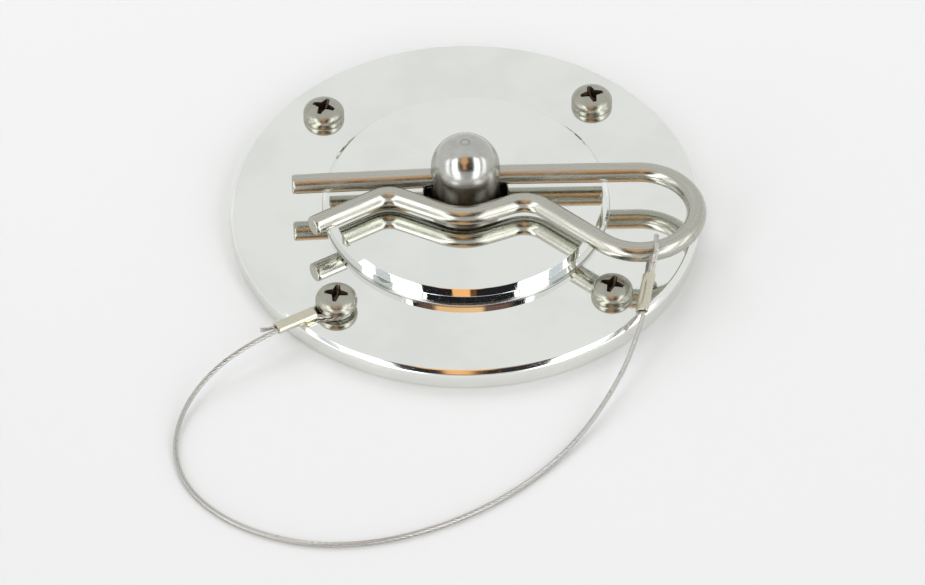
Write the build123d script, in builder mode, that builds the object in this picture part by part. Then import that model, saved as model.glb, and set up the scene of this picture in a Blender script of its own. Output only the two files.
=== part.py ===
"""Hold-down pin latch: scuff plate, domed pin with bracket hardware, hairpin clip and wire lanyard.

Frame: millimetres, +Z up. The origin is the centre of the plate's back face, which lies on the hood,
hatch or cover. The pin stands along Z, a little behind the centre in its wide hole, and the clip's
straight leg runs along X through it.
Nothing here depends on other files; each piece is written to parts/NAME.step.
"""

from build123d import *
import os
from math import acos, atan2, asin, cos, degrees, hypot, pi, radians, sin, tan

# ---- Driving dimensions (mm) ---------------------------------------------------------------------

# Scuff plate
PLATE_R = 76.2 / 2
PLATE_T = 3.5
PLATE_EDGE = 0.75
BOSS_R = 23.0
BOSS_FOOT_R = 23.35
BOSS_RISE = 2.7
BOSS_EDGE = 0.9
BOSS_TOP = PLATE_T + BOSS_RISE
PIN_HOLE_R = 6.7
PIN_HOLE_EDGE = 0.4

# Number 6 pan head screws
SCREW_PITCH = 44.0
SCREW_R = 1.75
SCREW_HOLE_R = 1.9
SCREW_LENGTH = 19.05
SCREW_POINT = 3.2
SCREW_NECK_R = 1.5
HEAD_R = 3.35
HEAD_H = 2.4
HEAD_ROUND = 1.15
RECESS_SPAN = 4.0
RECESS_WIDTH = 0.95
RECESS_DEPTH = 1.45
RECESS_TAPER = 12.0

# Pin, 7/16 inch, threaded below the plate
STUD_R = 11.112 / 2
PIN_Y = 0.9
DOME_Z = 11.0
STUD_BOTTOM = -72.0
STUD_CHAMFER = 1.0
DIMPLE_R = 0.8
DIMPLE_DEPTH = 0.35

# Bracket hardware on the pin. Threads are plain walls: major radius where the thread is free, and
# pitch radius where it is engaged in a nut.
THREAD_PITCH_R = 9.934 / 2
NUT_FLATS = 17.46
NUT_H = 6.35
NUT_BEVEL = 30.0
NUT_BORE_R = THREAD_PITCH_R + 0.004
LOCK_R = 9.9
LOCK_BORE_R = 5.68
LOCK_H = 2.77
LOCK_SPLIT = 0.9
LOCK_SLANT = 20.0
WASHER_R = 11.7
WASHER_BORE_R = 5.95
WASHER_H = 1.65
BRACKET_GAP = 6.35
UPPER_NUT_TOP = -30.0
UPPER_LOCK_TOP = UPPER_NUT_TOP - NUT_H
UPPER_FLAT_TOP = UPPER_LOCK_TOP - LOCK_H
LOWER_FLAT_TOP = UPPER_FLAT_TOP - WASHER_H - BRACKET_GAP
LOWER_LOCK_TOP = LOWER_FLAT_TOP - WASHER_H
LOWER_NUT_TOP = LOWER_LOCK_TOP - LOCK_H

# Hairpin clip
WIRE_R = 3.175 / 2
CLIP_Z = 8.8
CROSS_HOLE_R = WIRE_R + 0.09
LEG_TIP_X = -28.0
LEG_BEND = (7.0, PIN_Y)
LEG_BEND_R = 30.0
LOOP_R = 9.15
LOOP_X = 27.35
LOOP_END_ANGLE = -90.0
ARM_GAP = 0.08
ARM_TIP = (-25.2, -8.9)
OUTER_CREST = (-12.7, -2.3)
VALLEY = (-1.1, -8.8)
INNER_CREST = (10.0, -5.0)
OUTER_CREST_R = 4.0
VALLEY_R = 8.0
INNER_CREST_R = 5.0

# Lanyard
CABLE_R = 0.4
TAIL_R = 0.3
STRAND_GAP = 0.9
SLEEVE_L = 7.0
SLEEVE_WIDE = 2.3
SLEEVE_THIN = 1.5
SLEEVE_EDGE = 0.2
EYE_INSERT = 0.3
EYE_BEND = 0.97
EYE_Z = PLATE_T + CABLE_R + 0.06
SCREW_EYE_R = SCREW_R + CABLE_R + 0.05
SCREW_EYE_REACH = 4.0
CLIP_EYE_R = 2.45
CLIP_EYE_REACH = 4.4
CLIP_EYE_ANGLE = -80.0
CLIP_EYE_TWIST = 55.0
CLIP_TAIL_SIDE = -1.7
END_GAP = 0.6
FLOOR_Z = CABLE_R + 0.05

SCREW_AT = {
    "front_left": (-SCREW_PITCH / 2, -SCREW_PITCH / 2),
    "front_right": (SCREW_PITCH / 2, -SCREW_PITCH / 2),
    "rear_left": (-SCREW_PITCH / 2, SCREW_PITCH / 2),
    "rear_right": (SCREW_PITCH / 2, SCREW_PITCH / 2),
}
# Degrees that each cross recess is turned, as the screws happened to be driven.
RECESS_TURN = {"front_left": -12.0, "front_right": -22.0, "rear_left": -27.0, "rear_right": 11.0}
# The front left head sits on the lanyard's eye, so it stands higher than the others.
HEAD_SEAT = {name: PLATE_T for name in SCREW_AT}
HEAD_SEAT["front_left"] = EYE_Z + CABLE_R + 0.02

os.makedirs("parts", exist_ok=True)


def write(piece, name):
    """Label a finished piece and write it as its own STEP."""
    piece.part.label = name
    export_step(piece.part, f"parts/{name}.step")


# ---- Scuff plate ---------------------------------------------------------------------------------


def make_plate():
    with BuildPart() as plate:
        with BuildSketch(Plane.XZ):
            with BuildLine():
                Polyline(
                    (PIN_HOLE_R, 0),
                    (PLATE_R, 0),
                    (PLATE_R, PLATE_T - PLATE_EDGE),
                    (PLATE_R - PLATE_EDGE, PLATE_T),
                    (BOSS_FOOT_R, PLATE_T),
                    (BOSS_R, BOSS_TOP - BOSS_EDGE),
                    (BOSS_R - BOSS_EDGE, BOSS_TOP),
                    (PIN_HOLE_R + PIN_HOLE_EDGE, BOSS_TOP),
                    (PIN_HOLE_R, BOSS_TOP - PIN_HOLE_EDGE),
                    close=True,
                )
            make_face()
        revolve(axis=Axis.Z)
        with BuildSketch(Plane.XY):
            with GridLocations(SCREW_PITCH, SCREW_PITCH, 2, 2):
                Circle(SCREW_HOLE_R)
        extrude(amount=PLATE_T, mode=Mode.SUBTRACT)
    write(plate, "scuff_plate")


# ---- Screws --------------------------------------------------------------------------------------


def make_screw(name):
    """Pan head wood screw: cross recess, neck where it passes the plate, thread below the plate."""
    centre = SCREW_AT[name]
    seat = HEAD_SEAT[name]
    top = seat + HEAD_H
    tip = seat - SCREW_LENGTH
    with BuildPart() as screw:
        with BuildSketch(Plane(origin=(*centre, 0), x_dir=(1, 0, 0), z_dir=(0, -1, 0))):
            with BuildLine():
                Polyline(
                    (0, top),
                    (0, tip),
                    (SCREW_R, tip + SCREW_POINT),
                    (SCREW_R, 0),
                    (SCREW_NECK_R, 0),
                    (SCREW_NECK_R, seat),
                    (HEAD_R, seat),
                    (HEAD_R, top - HEAD_ROUND),
                )
                ThreePointArc(
                    (HEAD_R, top - HEAD_ROUND),
                    (HEAD_R - HEAD_ROUND * (1 - cos(pi / 4)), top - HEAD_ROUND * (1 - sin(pi / 4))),
                    (HEAD_R - HEAD_ROUND, top),
                )
                Line((HEAD_R - HEAD_ROUND, top), (0, top))
            make_face()
        revolve(axis=Axis((*centre, 0), (0, 0, 1)))
        with BuildSketch(Plane(origin=(*centre, top))):
            Rectangle(RECESS_SPAN, RECESS_WIDTH, rotation=RECESS_TURN[name])
            Rectangle(RECESS_WIDTH, RECESS_SPAN, rotation=RECESS_TURN[name])
        extrude(amount=-RECESS_DEPTH, taper=RECESS_TAPER, mode=Mode.SUBTRACT)
    write(screw, f"screw_{name}")


# ---- Pin and bracket hardware --------------------------------------------------------------------


PIN_AXIS = Axis((0, PIN_Y, 0), (0, 0, 1))
PIN_SIDE = Plane(origin=(0, PIN_Y, 0), x_dir=(1, 0, 0), z_dir=(0, -1, 0))


def across_pin(z):
    """Level plane centred on the pin."""
    return Plane(origin=(0, PIN_Y, z))


def make_pin():
    apex = DOME_Z + STUD_R
    with BuildPart() as pin:
        with BuildSketch(PIN_SIDE):
            with BuildLine():
                Polyline(
                    (0, apex),
                    (0, STUD_BOTTOM),
                    (STUD_R - STUD_CHAMFER, STUD_BOTTOM),
                    (STUD_R, STUD_BOTTOM + STUD_CHAMFER),
                    (STUD_R, LOWER_NUT_TOP - NUT_H),
                    (THREAD_PITCH_R, LOWER_NUT_TOP - NUT_H),
                    (THREAD_PITCH_R, LOWER_NUT_TOP),
                    (STUD_R, LOWER_NUT_TOP),
                    (STUD_R, UPPER_NUT_TOP - NUT_H),
                    (THREAD_PITCH_R, UPPER_NUT_TOP - NUT_H),
                    (THREAD_PITCH_R, UPPER_NUT_TOP),
                    (STUD_R, UPPER_NUT_TOP),
                    (STUD_R, DOME_Z),
                )
                ThreePointArc(
                    (STUD_R, DOME_Z),
                    (STUD_R * cos(pi / 4), DOME_Z + STUD_R * sin(pi / 4)),
                    (0, apex),
                )
            make_face()
        revolve(axis=PIN_AXIS)
        with BuildSketch(across_pin(apex)):
            Circle(DIMPLE_R)
        extrude(amount=-DIMPLE_DEPTH, mode=Mode.SUBTRACT)
        with BuildSketch(Plane.YZ):
            with Locations((PIN_Y, CLIP_Z)):
                Circle(CROSS_HOLE_R)
        extrude(amount=2 * STUD_R, both=True, mode=Mode.SUBTRACT)
    write(pin, "hold_down_pin")


def make_jam_nut(name, top):
    corner_r = NUT_FLATS / 2 / cos(pi / 6)
    bevel = (corner_r - NUT_FLATS / 2) * tan(radians(NUT_BEVEL))
    bottom = top - NUT_H
    with BuildPart() as nut:
        with BuildSketch(across_pin(bottom)):
            RegularPolygon(NUT_FLATS / 2, 6, major_radius=False)
            Circle(NUT_BORE_R, mode=Mode.SUBTRACT)
        extrude(amount=NUT_H)
        with BuildSketch(PIN_SIDE):
            with BuildLine():
                Polyline(
                    (0, bottom),
                    (NUT_FLATS / 2, bottom),
                    (corner_r, bottom + bevel),
                    (corner_r, top - bevel),
                    (NUT_FLATS / 2, top),
                    (0, top),
                    close=True,
                )
            make_face()
        revolve(axis=PIN_AXIS, mode=Mode.INTERSECT)
    write(nut, name)


def make_lock_washer(name, top, turn):
    with BuildPart() as lock:
        with BuildSketch(across_pin(top - LOCK_H)):
            Circle(LOCK_R)
            Circle(LOCK_BORE_R, mode=Mode.SUBTRACT)
        extrude(amount=LOCK_H)
        lean = LOCK_H * tan(radians(LOCK_SLANT)) / 2
        facing = Plane.XZ.rotated((0, 0, turn))
        split = Plane(origin=(0, PIN_Y, 0), x_dir=facing.x_dir, z_dir=facing.z_dir)
        with BuildSketch(split.offset(-LOCK_R - 1)):
            with BuildLine():
                Polyline(
                    (-lean - LOCK_SPLIT / 2, top - LOCK_H),
                    (-lean + LOCK_SPLIT / 2, top - LOCK_H),
                    (lean + LOCK_SPLIT / 2, top),
                    (lean - LOCK_SPLIT / 2, top),
                    close=True,
                )
            make_face()
        extrude(amount=LOCK_R + 1, mode=Mode.SUBTRACT)
    write(lock, name)


def make_flat_washer(name, top):
    with BuildPart() as washer:
        with BuildSketch(across_pin(top - WASHER_H)):
            Circle(WASHER_R)
            Circle(WASHER_BORE_R, mode=Mode.SUBTRACT)
        extrude(amount=WASHER_H)
    write(washer, name)


def make_bracket_hardware():
    """Nut, lock washer and flat washer above the bracket, and the same three mirrored below it."""
    make_jam_nut("upper_jam_nut", UPPER_NUT_TOP)
    make_lock_washer("upper_lock_washer", UPPER_LOCK_TOP, 35)
    make_flat_washer("upper_flat_washer", UPPER_FLAT_TOP)
    make_flat_washer("lower_flat_washer", LOWER_FLAT_TOP)
    make_lock_washer("lower_lock_washer", LOWER_LOCK_TOP, -70)
    make_jam_nut("lower_jam_nut", LOWER_NUT_TOP)


# ---- Hairpin clip --------------------------------------------------------------------------------


def on_loop(angle):
    """Point of the loop's centre line at an angle in degrees, in the clip's plane."""
    return (LOOP_X + LOOP_R * cos(radians(angle)), -LOOP_R + LOOP_R * sin(radians(angle)))


def make_clip():
    """Leg that bends slightly past the pin, and round loop."""
    to_loop = (LOOP_X - LEG_BEND[0], -LOOP_R - LEG_BEND[1])
    heading = atan2(to_loop[1], to_loop[0]) + asin(LOOP_R / hypot(*to_loop))
    touch_angle = 90 + degrees(heading)
    with BuildPart() as clip:
        with BuildLine(Plane.XY.offset(CLIP_Z)) as route:
            leg = FilletPolyline(
                (LEG_TIP_X, PIN_Y), LEG_BEND, on_loop(touch_angle), radius=LEG_BEND_R
            )
            CenterArc((LOOP_X, -LOOP_R), LOOP_R, touch_angle, LOOP_END_ANGLE - touch_angle)
        with BuildSketch(Plane(origin=leg @ 0, z_dir=leg % 0)):
            Circle(WIRE_R)
        sweep(path=route.wires()[0])
    write(clip, "hairpin_clip")


def make_arm():
    """Wavy spring arm, with a ball at its root that turns on the loop's end."""
    root_angle = LOOP_END_ANGLE - degrees((WIRE_R + ARM_GAP) / LOOP_R)
    to_loop = (LOOP_X - INNER_CREST[0], -LOOP_R - INNER_CREST[1])
    away = hypot(*to_loop)
    heading = atan2(to_loop[1], to_loop[0]) - asin(LOOP_R / away)
    touch_angle = degrees(heading) - 90
    with BuildPart() as arm:
        with BuildLine(Plane.XY.offset(CLIP_Z)) as route:
            CenterArc((LOOP_X, -LOOP_R), LOOP_R, root_angle, touch_angle - root_angle)
            FilletPolyline(
                on_loop(touch_angle),
                INNER_CREST,
                VALLEY,
                OUTER_CREST,
                ARM_TIP,
                radius=[INNER_CREST_R, VALLEY_R, OUTER_CREST_R],
            )
        path = route.wires()[0]
        with BuildSketch(Plane(origin=path @ 0, z_dir=path % 0)):
            Circle(WIRE_R)
        sweep(path=path)
        with Locations((*on_loop(root_angle), CLIP_Z)):
            Sphere(WIRE_R)
    write(arm, "hairpin_arm")
    print("arm pivot", on_loop(root_angle), "touch angle", touch_angle)


# ---- Lanyard -------------------------------------------------------------------------------------


def strand_offset(twist):
    """Y and Z of the first strand where it leaves the sleeve; the second strand is opposite."""
    return (STRAND_GAP / 2 * cos(radians(twist)), -STRAND_GAP / 2 * sin(radians(twist)))


def make_eye(name, frame, eye_r, reach, twist=0.0):
    """Cable eye round the frame's origin, from one strand at the sleeve, at +X, to the other.

    It wraps in the XY plane. The strands lie beside each other along Y at the sleeve, or turned from Y
    towards -Z by the twist, and then the wrap runs a little along Z as a helix does.
    """
    end = Vector(reach + EYE_INSERT, *strand_offset(twist))
    opening = acos(eye_r / hypot(end.X, end.Y))
    swing = atan2(end.Y, end.X)
    turn = (2 * pi - 2 * opening) / 3
    corners = []
    for step, drift in enumerate((1.5, 0.4, -1.0)):
        angle = swing + opening + (step + 0.5) * turn
        away = eye_r / cos(turn / 2)
        corners.append((away * cos(angle), away * sin(angle), drift * end.Z))
    with BuildPart() as eye:
        with BuildLine(frame) as route:
            FilletPolyline(tuple(end), *corners, (end.X, -end.Y, -end.Z), radius=EYE_BEND * eye_r)
        path = route.wires()[0]
        with BuildSketch(Plane(origin=path @ 0, z_dir=path % 0)):
            Circle(CABLE_R)
        sweep(path=path)
    write(eye, name)


def make_sleeve(name, frame, reach, rise, twist=0.0):
    """Crimp sleeve on both strands, from the reach outward along the frame's X."""
    wide_dir = frame.y_dir * cos(radians(twist)) - frame.z_dir * sin(radians(twist))
    face = Plane(
        origin=frame.from_local_coords(Vector(reach, 0, rise)), x_dir=wide_dir, z_dir=frame.x_dir
    )
    with BuildPart() as sleeve:
        with BuildSketch(face):
            SlotOverall(SLEEVE_WIDE, SLEEVE_THIN)
        extrude(amount=SLEEVE_L)
        ends = sleeve.faces().sort_by(Axis(face.origin, face.z_dir))
        chamfer(ends[0].edges() + ends[-1].edges(), SLEEVE_EDGE)
    write(sleeve, name)


def make_tail(name, points):
    """Cut end of the second strand, just clear of the sleeve."""
    with BuildPart() as tail:
        with BuildLine() as route:
            FilletPolyline(*points, radius=[1.2] * (len(points) - 2))
        path = route.wires()[0]
        with BuildSketch(Plane(origin=path @ 0, z_dir=path % 0)):
            Circle(TAIL_R)
        sweep(path=path)
    write(tail, name)


def corner_radii(points):
    """Each corner's radius: 0.45 of its shorter run over the tangent of half its turn."""
    radii = []
    for before, here, after in zip(points, points[1:], points[2:]):
        run_in = Vector(here) - Vector(before)
        run_out = Vector(after) - Vector(here)
        half_turn = radians(run_in.get_angle(run_out)) / 2
        radii.append(0.45 * min(run_in.length, run_out.length) / tan(half_turn))
    return radii


def make_cable(points):
    radii = corner_radii(points)
    with BuildPart() as cable:
        with BuildLine() as route:
            FilletPolyline(*points, radius=radii)
        path = route.wires()[0]
        with BuildSketch(Plane(origin=path @ 0, z_dir=path % 0)):
            Circle(CABLE_R)
        sweep(path=path)
    write(cable, "lanyard_cable")
    print("cable radii", [round(radius, 1) for radius in radii])
    section = pi * CABLE_R**2
    print("cable length", round(path.length, 2), "volume over section", round(cable.part.volume / section, 2))


def make_lanyard():
    # Screw end: the eye lies flat under the front left head, and its sleeve points out over the edge.
    screw_frame = Plane(
        origin=(*SCREW_AT["front_left"], EYE_Z), x_dir=(-0.890, -0.456, 0), z_dir=(0, 0, -1)
    )
    screw_rise = -(PLATE_T + SLEEVE_THIN / 2 + 0.02 - EYE_Z)
    make_eye("screw_eye_loop", screw_frame, SCREW_EYE_R, SCREW_EYE_REACH)
    make_sleeve("screw_sleeve", screw_frame, SCREW_EYE_REACH, screw_rise)
    screw_exit = SCREW_EYE_REACH + SLEEVE_L

    # Clip end: the eye hangs round the loop's wire, and its strands turn side by side to the sleeve.
    hang_dir = Vector(-0.240, -0.940, -0.246).normalized()
    upright = Vector(0, 0, 1) - hang_dir * hang_dir.Z
    clip_frame = Plane(
        origin=(*on_loop(CLIP_EYE_ANGLE), CLIP_Z), x_dir=hang_dir, z_dir=hang_dir.cross(upright)
    )
    make_eye("clip_eye_loop", clip_frame, CLIP_EYE_R, CLIP_EYE_REACH, CLIP_EYE_TWIST)
    make_sleeve("clip_sleeve", clip_frame, CLIP_EYE_REACH, 0, CLIP_EYE_TWIST)
    clip_exit = CLIP_EYE_REACH + SLEEVE_L

    def screw_point(along, across, up=0.0):
        return screw_frame.from_local_coords(Vector(along, across, screw_rise - up))

    def clip_point(along, side):
        """Point past the clip's sleeve: side is 1 for the first strand and -1 for the second."""
        across, over = strand_offset(CLIP_EYE_TWIST)
        return clip_frame.from_local_coords(Vector(along, side * across, side * over))

    side = STRAND_GAP / 2
    make_tail("screw_tail", [
        screw_point(screw_exit, side),
        screw_point(screw_exit + 1.4, side),
        screw_point(screw_exit + 2.6, side + 0.5, 0.15),
    ])
    make_tail("clip_tail", [
        clip_point(clip_exit, CLIP_TAIL_SIDE),
        clip_point(clip_exit + 0.6, CLIP_TAIL_SIDE),
        clip_point(clip_exit + 2.4, CLIP_TAIL_SIDE) + Vector(-1.9, 0, -0.9),
    ])
    start = screw_point(screw_exit, -side)
    finish = clip_point(clip_exit + END_GAP, 1)
    print("cable start", start, "finish", finish)
    make_cable([
        tuple(start),
        (-36.4, -30.0, 4.0),
        (-42.6, -34.4, 2.6),
        (-47.2, -40.8, 1.2),
        (-49.0, -48.6, FLOOR_Z),
        (-47.4, -56.6, FLOOR_Z),
        (-42.6, -63.2, FLOOR_Z),
        (-35.6, -68.0, FLOOR_Z),
        (-27.0, -70.8, FLOOR_Z),
        (-17.4, -70.6, FLOOR_Z),
        (-7.8, -67.9, FLOOR_Z),
        (1.0, -63.4, FLOOR_Z),
        (8.9, -57.2, FLOOR_Z),
        (15.2, -50.2, 0.9),
        (20.2, -43.0, 2.2),
        (24.1, -36.0, 4.0),
        tuple(finish),
    ])


make_plate()
for screw_name in SCREW_AT:
    make_screw(screw_name)
make_pin()
make_bracket_hardware()
make_clip()
make_arm()
make_lanyard()
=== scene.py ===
"""Hold-down pin latch: visible pieces, materials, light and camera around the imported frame.

The frame is the CAD model's: +Z along the pin, with the origin at the centre of the plate's back face.
Shapes are worked out in millimetres and scaled to metres when their mesh is made.
"""

from math import acos, asin, atan2, copysign, cos, degrees, exp, hypot, pi, radians, sin, sqrt, tan

import bmesh
import bpy
import numpy as np
from mathutils import Matrix, Vector


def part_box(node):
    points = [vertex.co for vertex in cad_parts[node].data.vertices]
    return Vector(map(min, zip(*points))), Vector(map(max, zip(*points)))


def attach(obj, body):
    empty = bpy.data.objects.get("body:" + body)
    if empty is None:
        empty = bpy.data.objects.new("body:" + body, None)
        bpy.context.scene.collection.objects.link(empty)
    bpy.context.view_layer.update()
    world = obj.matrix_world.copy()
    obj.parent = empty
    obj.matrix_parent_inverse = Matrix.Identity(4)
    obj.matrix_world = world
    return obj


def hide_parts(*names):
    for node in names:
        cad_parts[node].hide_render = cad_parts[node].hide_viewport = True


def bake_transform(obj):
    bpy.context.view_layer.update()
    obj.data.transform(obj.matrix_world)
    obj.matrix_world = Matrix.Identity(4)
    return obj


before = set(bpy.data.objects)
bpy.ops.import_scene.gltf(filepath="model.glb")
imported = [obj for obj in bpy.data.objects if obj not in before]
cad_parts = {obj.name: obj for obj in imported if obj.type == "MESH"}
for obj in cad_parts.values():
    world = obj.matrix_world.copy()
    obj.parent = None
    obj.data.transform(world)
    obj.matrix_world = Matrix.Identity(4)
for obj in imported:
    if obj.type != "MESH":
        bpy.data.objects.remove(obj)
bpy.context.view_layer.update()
MM = 0.001

# ---- Sizes of the real piece, in mm ----------------------------------------------------------------

PLATE_R = 38.1
PLATE_T = 3.5
PLATE_EDGE = 0.75
BOSS_R = 23.0
BOSS_TOP = 6.2
BOSS_EDGE = 0.9
BOSS_FOOT_R = 23.24
# Top of the band at the boss's foot, which is made duller and painted darker as painted shade.
BOSS_FOOT_DULL_SHADE_Z = 4.05
PIN_HOLE_R = 6.7

SCREW_TURNS = {"front_left": -12, "front_right": -22, "rear_left": -27, "rear_right": 11}
SCREW_HOLE_R = 1.9
HEAD_R = 3.35
HEAD_H = 2.4
HEAD_WALL = 0.6
HEAD_FULLNESS = 0.8
RECESS_HALF_LENGTH = 2.0
RECESS_HALF_WIDTH = 0.58
RECESS_DEPTH = 1.45
SCREW_R = 1.75
SCREW_CORE_R = 1.32
SCREW_PITCH = 1.41
SCREW_POINT = 3.2

STUD_R = 5.556
PIN_Y = 0.9
THREAD_PITCH = 1.814
THREAD_ROOT_R = 4.45
DOME_Z = 11.0
NUT_FLATS_R = 8.73
LOCK_R = 9.9
LOCK_BORE_R = 5.68
LOCK_SPLIT = 0.9
LOCK_SLANT = 20
WASHER_R = 11.7
WASHER_BORE_R = 5.95

WIRE_R = 1.5875
CLIP_Z = 8.8
CROSS_HOLE_R = 1.6775
LEG_TIP_X = -28.0
LEG_BEND = (7.0, PIN_Y)
LEG_BEND_R = 30.0
LOOP_X = 27.35
LOOP_R = 9.15
ARM_TIP = (-25.2, -8.9)
OUTER_CREST = (-12.7, -2.3)
VALLEY = (-1.1, -8.8)
INNER_CREST = (10.0, -5.0)
CREST_RADII = (5.0, 8.0, 4.0)
LOOP_SPLIT_ANGLE = -40

CABLE_R = 0.4
STRAND_R = CABLE_R / 3
TAIL_STRAND_R = 0.085
LAY_LENGTH = 6.5
SLEEVE_WIDE = 2.3
SLEEVE_THIN = 1.5
SLEEVE_WALL = 0.28
SLEEVE_MOUTH = 0.9
SLEEVE_L = 7.0
STRAND_GAP = 0.9

SCREW_EYE_R = 2.2
SCREW_EYE_REACH = 4.9
SCREW_SLEEVE_FROM = 4.0
SCREW_SLEEVE_WAIST = 0.05
CLIP_EYE_ANGLE = -80
CLIP_EYE_TWIST = 55
CLIP_EYE_R = 2.4
CLIP_EYE_REACH = 5.3
CLIP_SLEEVE_FROM = 4.4
CLIP_SLEEVE_WAIST = 0.22


def node_box(node):
    """Lowest and highest corner of a CAD node, in mm."""
    low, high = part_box(node)
    return low / MM, high / MM


# ---- Mesh helpers ----------------------------------------------------------------------------------

DOUBLES_APART = 1e-7
SLIVER_EDGE = 1e-8


def add_mesh(name, points, faces, at=(0, 0, 0)):
    """New object from points in mm around a place in mm."""
    mesh = bpy.data.meshes.new(name)
    mesh.from_pydata((np.asarray(points, float) * MM).tolist(), [], faces)
    piece = bpy.data.objects.new(name, mesh)
    piece.location = Vector(at) * MM
    bpy.context.scene.collection.objects.link(piece)
    return piece


def skin(rings, loop=False):
    """Points and faces of a surface through rings of equal count: a closed loop, or capped at both ends."""
    count = len(rings)
    columns = len(rings[0])
    faces = []
    for row in range(count if loop else count - 1):
        here, there = row * columns, (row + 1) % count * columns
        for i in range(columns):
            j = (i + 1) % columns
            faces.append((here + i, here + j, there + j, there + i))
    if not loop:
        faces.append(tuple(reversed(range(columns))))
        faces.append(tuple(range((count - 1) * columns, count * columns)))
    return np.vstack(rings), faces


def mend(piece, drop_slivers=True, fill_rings=False):
    """Merges doubles, drops slivers, caps open rings if asked, and turns faces outward."""
    shape = bmesh.new()
    shape.from_mesh(piece.data)
    bmesh.ops.remove_doubles(shape, verts=shape.verts, dist=DOUBLES_APART)
    if drop_slivers:
        bmesh.ops.dissolve_degenerate(shape, edges=shape.edges, dist=SLIVER_EDGE)
    if fill_rings:
        edges = [edge for edge in shape.edges if edge.is_boundary]
        bmesh.ops.holes_fill(shape, edges=edges, sides=0)
    bmesh.ops.recalc_face_normals(shape, faces=shape.faces)
    shape.to_mesh(piece.data)
    shape.free()


def weigh_normals(piece):
    """Keeps large flat faces flat beside rounded edges."""
    flats = piece.modifiers.new("flats", "WEIGHTED_NORMAL")
    flats.keep_sharp = True
    flats.weight = 100


def clean(piece, sharp=32):
    """Mends a mesh and shades it smooth, with crisp edges above an angle in degrees."""
    mend(piece)
    piece.data.shade_smooth()
    piece.data.set_sharp_from_angle(angle=radians(sharp))
    weigh_normals(piece)


def cut(piece, cutter):
    """Takes the cutter's shape out of the piece, and gives the cut faces the cutter's material if any."""
    mend(piece, drop_slivers=False)
    mend(cutter, drop_slivers=False)
    boolean = piece.modifiers.new("cut", "BOOLEAN")
    boolean.operation = "DIFFERENCE"
    boolean.solver = "EXACT"
    boolean.material_mode = "TRANSFER" if cutter.data.materials else "INDEX"
    boolean.object = cutter
    depsgraph = bpy.context.evaluated_depsgraph_get()
    result = bpy.data.meshes.new_from_object(piece.evaluated_get(depsgraph))
    piece.modifiers.clear()
    piece.data = result
    bpy.data.objects.remove(cutter)


def rounded(corners, loop=False, steps=6):
    """Outline through (x, y, radius) corners, with an arc at each corner that has a radius."""
    points = []
    for index, (x, y, radius) in enumerate(corners):
        here = np.array((x, y), float)
        at_end = not loop and index in (0, len(corners) - 1)
        if at_end or radius == 0:
            points.append(here)
            continue
        back = np.array(corners[index - 1][:2]) - here
        ahead = np.array(corners[(index + 1) % len(corners)][:2]) - here
        back /= hypot(*back)
        ahead /= hypot(*ahead)
        half = acos(back @ ahead) / 2
        middle = (back + ahead) / hypot(*(back + ahead))
        centre = here + middle * radius / sin(half)
        first = here + back * radius / tan(half) - centre
        last = here + ahead * radius / tan(half) - centre
        swing = atan2(first[0] * last[1] - first[1] * last[0], first @ last)
        for step in range(steps + 1):
            turn = swing * step / steps
            spin = np.array(((cos(turn), -sin(turn)), (sin(turn), cos(turn))))
            points.append(centre + spin @ first)
    return points


def circle(radius, z, columns):
    angles = 2 * pi * np.arange(columns) / columns
    return np.column_stack((radius * np.cos(angles), radius * np.sin(angles), np.full(columns, z)))


def lathe(name, profile, columns, loop=False, at=(0, 0, 0)):
    """Turned piece: the (radius, z) outline goes round a vertical axis."""
    return add_mesh(name, *skin([circle(r, z, columns) for r, z in profile], loop), at)


def cylinder(name, radius, start, end, columns=48):
    """Plain closed cylinder between two points, for cutting."""
    axis = Vector(end) - Vector(start)
    turn = axis.to_track_quat("Z", "Y").to_matrix()
    rings = []
    for along in (0, axis.length):
        ring = [turn @ Vector(point) + Vector(start) for point in circle(radius, along, columns)]
        rings.append(np.array(ring))
    return add_mesh(name, *skin(rings))


def frames_along(path):
    """Unit tangents of a path, and two unit vectors across it that don't twist."""
    path = np.asarray(path, float)
    tangents = np.gradient(path, axis=0)
    tangents /= np.linalg.norm(tangents, axis=1)[:, None]
    side = np.cross(tangents[0], (0, 0, 1))
    if np.linalg.norm(side) < 0.1:
        side = np.cross(tangents[0], (1, 0, 0))
    sides = []
    for tangent in tangents:
        side = side - (side @ tangent) * tangent
        side = side / np.linalg.norm(side)
        sides.append(side)
    sides = np.array(sides)
    return tangents, sides, np.cross(tangents, sides)


def along_path(path):
    """Length from the start at each point of a path."""
    steps = np.linalg.norm(np.diff(path, axis=0), axis=1)
    return np.concatenate(((0,), np.cumsum(steps)))


def resample(path, step):
    """The same path with points a step apart."""
    path = np.asarray(path, float)
    lengths = along_path(path)
    wanted = np.linspace(0, lengths[-1], max(3, int(lengths[-1] / step) + 1))
    return np.column_stack([np.interp(wanted, lengths, path[:, axis]) for axis in range(3)])


def tube_rings(path, radii, columns):
    """Rings of a round wire along a path, with one radius for each point."""
    _, sides, ups = frames_along(path)
    angles = 2 * pi * np.arange(columns) / columns
    rings = []
    for point, side, up, radius in zip(path, sides, ups, radii):
        rings.append(point + radius * (np.outer(np.cos(angles), side) + np.outer(np.sin(angles), up)))
    return rings


def set_grain(piece, path, stretch):
    """Stores a point attribute for drawn-wire lines: across the wire in mm, and along it, slowly."""
    path = np.asarray(path, float)
    _, sides, ups = frames_along(path)
    lengths = along_path(path)
    points = np.array([vertex.co for vertex in piece.data.vertices]) / MM
    grain = np.empty((len(points), 3), np.float32)
    for index, point in enumerate(points):
        nearest = np.argmin(((path - point) ** 2).sum(axis=1))
        offset = point - path[nearest]
        grain[index] = (offset @ sides[nearest], offset @ ups[nearest], lengths[nearest] * stretch)
    attribute = piece.data.attributes.new("grain", "FLOAT_VECTOR", "POINT")
    attribute.data.foreach_set("vector", grain.ravel())


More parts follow.
